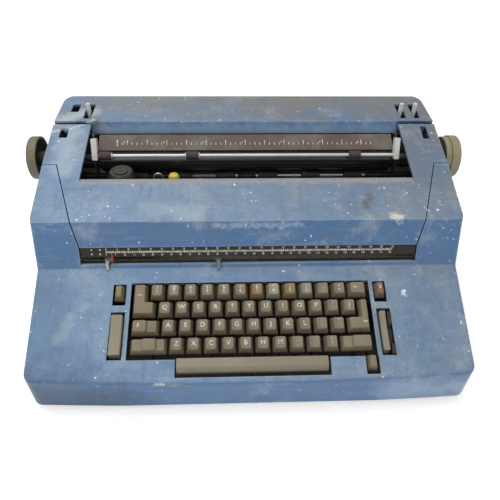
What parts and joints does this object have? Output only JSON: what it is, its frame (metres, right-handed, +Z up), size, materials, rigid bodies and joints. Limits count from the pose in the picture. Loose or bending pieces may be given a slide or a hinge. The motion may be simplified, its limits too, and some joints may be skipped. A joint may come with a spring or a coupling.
{
  "type": "electric typewriter",
  "caption": "Wide-carriage electric office typewriter with a single type element, hinged U-shaped top cover, platen with knobs, paper bail and a stepped bank of sculpted keys.",
  "frame": {"origin": "on the table, under the middle of the case", "axes": "+X to the right of the machine, along the platen; +Y to its rear; +Z up"},
  "size_m": [0.563, 0.3876, 0.204],
  "materials": {
    "blue_paint": "worn satin",
    "frame_steel": "zinc plated, dull",
    "bright_steel": "ground",
    "feed_steel": "worn",
    "black_rubber": "matte",
    "platen_rubber": "hard, satin",
    "belt_rubber": "matte",
    "black_plastic": "matte",
    "key_plastic": "worn satin",
    "knob_plastic": "matte",
    "scale_brown": "satin",
    "ivory_plastic": "satin",
    "cast_alloy": "as cast",
    "element_plate": "nickel plated, dull",
    "red_plastic": "gloss",
    "spool_plastic": "gloss",
    "motor_grey": "satin"
  },
  "bodies": {
    "case": {"main_housing": "blue_paint", "rear_cover": "blue_paint", "base_pan": "frame_steel", "rubber_feet": "black_rubber", "case_screws": "frame_steel", "cord_gland": "black_plastic", "frame_plates": "frame_steel", "tie_bars": "frame_steel", "carrier_rails": "bright_steel", "paper_table": "scale_brown", "paper_deflector": "frame_steel", "margin_scale": "black_plastic", "margin_rack": "bright_steel", "keyboard_frame": "frame_steel", "fulcrum_rod": "bright_steel", "switch_guide": "key_plastic", "motor": "motor_grey", "motor_mount": "frame_steel", "drive_belt": "belt_rubber"},
    "lid": {"top_cover": "blue_paint"},
    "platen_roller": {"platen": "platen_rubber", "platen_shaft": "bright_steel", "left_platen_knob": "knob_plastic", "right_platen_knob": "knob_plastic"},
    "front_feed": {"front_feed_rollers": "feed_steel"},
    "rear_feed": {"rear_feed_rollers": "feed_steel"},
    "paper_bail": {"bail_arms": "frame_steel", "bail_handles": "ivory_plastic", "bail_rod": "bright_steel"},
    "bail_roller_set": {"bail_rollers": "black_rubber"},
    "type_carrier": {"carrier": "cast_alloy", "ribbon_cartridge": "black_plastic", "position_pointer": "red_plastic"},
    "rocker": {"element_rocker": "cast_alloy"},
    "element": {"type_element": "element_plate"},
    "supply_spool": {"supply_tape_spool": "spool_plastic"},
    "takeup_spool": {"takeup_tape_spool": "spool_plastic"},
    "left_stop": {"left_margin_stop": "black_plastic"},
    "right_stop": {"right_margin_stop": "black_plastic"},
    "motor_rotor": {"motor_shaft": "bright_steel"},
    "main_drive": {"operational_shaft": "bright_steel"},
    "copy_lever": {"copy_control_lever": "ivory_plastic"},
    "space_lever": {"line_space_lever": "ivory_plastic"},
    "release_lever": {"paper_release_lever": "ivory_plastic"},
    "number_row": {"number_row_keys": "key_plastic"},
    "top_row": {"top_row_keys": "key_plastic"},
    "home_row": {"home_row_keys": "key_plastic"},
    "bottom_row": {"bottom_row_keys": "key_plastic"},
    "tab": {"tab_key": "key_plastic"},
    "carriage_return": {"return_key": "key_plastic"},
    "backspace": {"backspace_key": "key_plastic"},
    "lock": {"lock_key": "key_plastic"},
    "left_shift": {"left_shift_key": "key_plastic"},
    "right_shift": {"right_shift_key": "key_plastic"},
    "correction": {"correction_key": "key_plastic"},
    "index": {"index_key": "key_plastic"},
    "margin_release": {"margin_release_key": "key_plastic"},
    "space": {"space_bar": "key_plastic"},
    "tab_switch": {"tab_rocker": "key_plastic"},
    "power_switch": {"power_rocker": "key_plastic"}
  },
  "joints": [
    {"name": "top_cover_hinge", "type": "hinge", "parent": "case", "child": "lid", "pos_m": [0, 0.113, 0.18437], "axis": [-1, 0, 0], "range_deg": [0, 60]},
    {"name": "platen_turn", "type": "hinge", "parent": "case", "child": "platen_roller", "pos_m": [0, 0.088, 0.156], "axis": [1, 0, 0], "continuous": true},
    {"name": "front_feed_turn", "type": "hinge", "parent": "case", "child": "front_feed", "pos_m": [0, 0.0744, 0.13562], "axis": [1, 0, 0], "continuous": true},
    {"name": "rear_feed_turn", "type": "hinge", "parent": "case", "child": "rear_feed", "pos_m": [0, 0.1016, 0.13562], "axis": [1, 0, 0], "continuous": true},
    {"name": "paper_bail_swing", "type": "hinge", "parent": "case", "child": "paper_bail", "pos_m": [0, 0.06, 0.13], "axis": [1, 0, 0], "range_deg": [0, 22]},
    {"name": "bail_rollers_turn", "type": "hinge", "parent": "paper_bail", "child": "bail_roller_set", "pos_m": [0, 0.069, 0.1706], "axis": [1, 0, 0], "continuous": true},
    {"name": "carrier_travel", "type": "slide", "parent": "case", "child": "type_carrier", "axis": [1, 0, 0], "range_m": [0, 0.325]},
    {"name": "element_rock", "type": "hinge", "parent": "type_carrier", "child": "rocker", "pos_m": [-0.16, 0.038, 0.13], "axis": [-1, 0, 0], "range_deg": [0, 8.5], "stiffness_Nm_per_rad": 0.8, "springref_deg": -5.73},
    {"name": "element_turn", "type": "hinge", "parent": "rocker", "child": "element", "pos_m": [-0.16, 0.046, 0.152], "axis": [0, 0, 1], "range_deg": [-180, 180]},
    {"name": "supply_spool_turn", "type": "hinge", "parent": "type_carrier", "child": "supply_spool", "pos_m": [-0.094, 0.037, 0], "axis": [0, 0, 1], "continuous": true},
    {"name": "takeup_spool_turn", "type": "hinge", "parent": "type_carrier", "child": "takeup_spool", "pos_m": [-0.226, 0.037, 0], "axis": [0, 0, 1], "continuous": true},
    {"name": "left_margin_set", "type": "slide", "parent": "case", "child": "left_stop", "axis": [1, 0, 0], "range_m": [-0.015, 0.055]},
    {"name": "right_margin_set", "type": "slide", "parent": "case", "child": "right_stop", "axis": [1, 0, 0], "range_m": [-0.06, 0.21]},
    {"name": "main_drive_spin", "type": "hinge", "parent": "case", "child": "main_drive", "pos_m": [0, 0.072, 0.066], "axis": [1, 0, 0], "continuous": true},
    {"name": "motor_spin", "type": "hinge", "parent": "case", "child": "motor_rotor", "pos_m": [0, 0.14, 0.056], "axis": [1, 0, 0], "continuous": true},
    {"name": "copy_control_swing", "type": "hinge", "parent": "case", "child": "copy_lever", "pos_m": [-0.213, 0.146, 0.156], "axis": [1, 0, 0], "range_deg": [-20, 20]},
    {"name": "line_space_swing", "type": "hinge", "parent": "case", "child": "space_lever", "pos_m": [0.2155, 0.146, 0.156], "axis": [1, 0, 0], "range_deg": [-15, 15]},
    {"name": "paper_release_swing", "type": "hinge", "parent": "case", "child": "release_lever", "pos_m": [0.2345, 0.146, 0.156], "axis": [1, 0, 0], "range_deg": [-20, 20]},
    {"name": "number_row_press", "type": "hinge", "parent": "case", "child": "number_row", "pos_m": [0, -0.038, 0.044], "axis": [1, 0, 0], "range_deg": [0, 3.7], "stiffness_Nm_per_rad": 2, "springref_deg": -8.59},
    {"name": "top_row_press", "type": "hinge", "parent": "case", "child": "top_row", "pos_m": [0, -0.038, 0.044], "axis": [1, 0, 0], "range_deg": [0, 2.8], "stiffness_Nm_per_rad": 2, "springref_deg": -8.59},
    {"name": "home_row_press", "type": "hinge", "parent": "case", "child": "home_row", "pos_m": [0, -0.038, 0.044], "axis": [1, 0, 0], "range_deg": [0, 2.3], "stiffness_Nm_per_rad": 2, "springref_deg": -8.59},
    {"name": "bottom_row_press", "type": "hinge", "parent": "case", "child": "bottom_row", "pos_m": [0, -0.038, 0.044], "axis": [1, 0, 0], "range_deg": [0, 1.9], "stiffness_Nm_per_rad": 2, "springref_deg": -8.59},
    {"name": "tab_press", "type": "hinge", "parent": "case", "child": "tab", "pos_m": [0, -0.038, 0.044], "axis": [1, 0, 0], "range_deg": [0, 3.7], "stiffness_Nm_per_rad": 0.4, "springref_deg": -8.59},
    {"name": "return_press", "type": "hinge", "parent": "case", "child": "carriage_return", "pos_m": [0, -0.038, 0.044], "axis": [1, 0, 0], "range_deg": [0, 2.8], "stiffness_Nm_per_rad": 0.4, "springref_deg": -8.59},
    {"name": "backspace_press", "type": "hinge", "parent": "case", "child": "backspace", "pos_m": [0, -0.038, 0.044], "axis": [1, 0, 0], "range_deg": [0, 3.7], "stiffness_Nm_per_rad": 0.4, "springref_deg": -8.59},
    {"name": "lock_press", "type": "hinge", "parent": "case", "child": "lock", "pos_m": [0, -0.038, 0.044], "axis": [1, 0, 0], "range_deg": [0, 2.3], "stiffness_Nm_per_rad": 0.4, "springref_deg": -8.59},
    {"name": "left_shift_press", "type": "hinge", "parent": "case", "child": "left_shift", "pos_m": [0, -0.038, 0.044], "axis": [1, 0, 0], "range_deg": [0, 1.9], "stiffness_Nm_per_rad": 0.4, "springref_deg": -8.59},
    {"name": "right_shift_press", "type": "hinge", "parent": "case", "child": "right_shift", "pos_m": [0, -0.038, 0.044], "axis": [1, 0, 0], "range_deg": [0, 1.9], "stiffness_Nm_per_rad": 0.4, "springref_deg": -8.59},
    {"name": "correction_press", "type": "hinge", "parent": "case", "child": "correction", "pos_m": [0, -0.038, 0.044], "axis": [1, 0, 0], "range_deg": [0, 1.6], "stiffness_Nm_per_rad": 0.4, "springref_deg": -8.59},
    {"name": "index_press", "type": "hinge", "parent": "case", "child": "index", "pos_m": [0, -0.038, 0.044], "axis": [1, 0, 0], "range_deg": [0, 3.7], "stiffness_Nm_per_rad": 0.4, "springref_deg": -8.59},
    {"name": "margin_release_press", "type": "hinge", "parent": "case", "child": "margin_release", "pos_m": [0, -0.038, 0.044], "axis": [1, 0, 0], "range_deg": [0, 3.7], "stiffness_Nm_per_rad": 0.4, "springref_deg": -8.59},
    {"name": "space_press", "type": "hinge", "parent": "case", "child": "space", "pos_m": [0, -0.038, 0.044], "axis": [1, 0, 0], "range_deg": [0, 1.6], "stiffness_Nm_per_rad": 0.4, "springref_deg": -8.59},
    {"name": "tab_switch_rock", "type": "hinge", "parent": "case", "child": "tab_switch", "pos_m": [0, -0.1435, 0.05924], "axis": [1, 0, 0], "range_deg": [-4, 4]},
    {"name": "power_switch_rock", "type": "hinge", "parent": "case", "child": "power_switch", "pos_m": [0, -0.1435, 0.05924], "axis": [1, 0, 0], "range_deg": [-4, 4]}
  ],
  "couplings": [
    {"joint": "front_feed_turn", "follows": "platen_turn", "ratio": -3.0333},
    {"joint": "rear_feed_turn", "follows": "platen_turn", "ratio": -3.0333},
    {"joint": "motor_spin", "follows": "main_drive_spin", "ratio": 2.3636}
  ]
}
